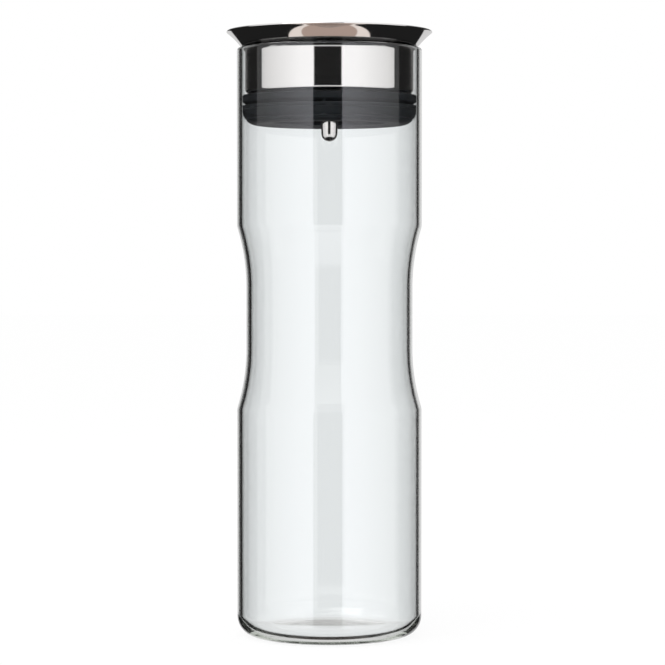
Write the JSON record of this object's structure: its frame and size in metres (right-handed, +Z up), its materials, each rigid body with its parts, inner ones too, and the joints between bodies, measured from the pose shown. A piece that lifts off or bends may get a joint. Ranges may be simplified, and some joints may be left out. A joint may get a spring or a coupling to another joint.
{
  "type": "water carafe",
  "caption": "Tall glass carafe with a drawn-in waist and a steel pouring lid on a soft stopper, whose cap tilts open by its own weight to pour.",
  "frame": {"origin": "centre of the foot ring that the glass stands on, on the axis", "axes": "+Z up along the axis of the glass, +X towards the side that the cap opens and pours to"},
  "size_m": [0.1056, 0.1056, 0.3108],
  "materials": {
    "clear_glass": "clear, fire-polished",
    "polished_steel": "mirror-polished stainless steel",
    "black_silicone": "matte moulded silicone",
    "black_plastic": "fine satin moulded"
  },
  "bodies": {
    "vessel": {"glass_body": "clear_glass"},
    "lid": {"pouring_collar": "polished_steel", "funnel_liner": "polished_steel", "lid_core": "black_plastic", "collar_seal_ring": "black_silicone", "stopper_sleeve": "black_silicone"},
    "closure": {"closing_cap": "polished_steel", "cap_carrier": "black_plastic", "disc_gasket": "black_silicone", "guide_spider": "black_plastic", "stem_bolt": "polished_steel", "stem_washer": "polished_steel", "counterweight_pin": "polished_steel"}
  },
  "joints": [
    {"name": "lid_lift", "type": "slide", "parent": "vessel", "child": "lid", "axis": [0, 0, 1], "range_m": [0, 0.07]},
    {"name": "closure_tilt", "type": "hinge", "parent": "lid", "child": "closure", "pos_m": [-0.0294, 0, 0.2944], "axis": [0, -1, 0], "range_deg": [0, 10]}
  ]
}
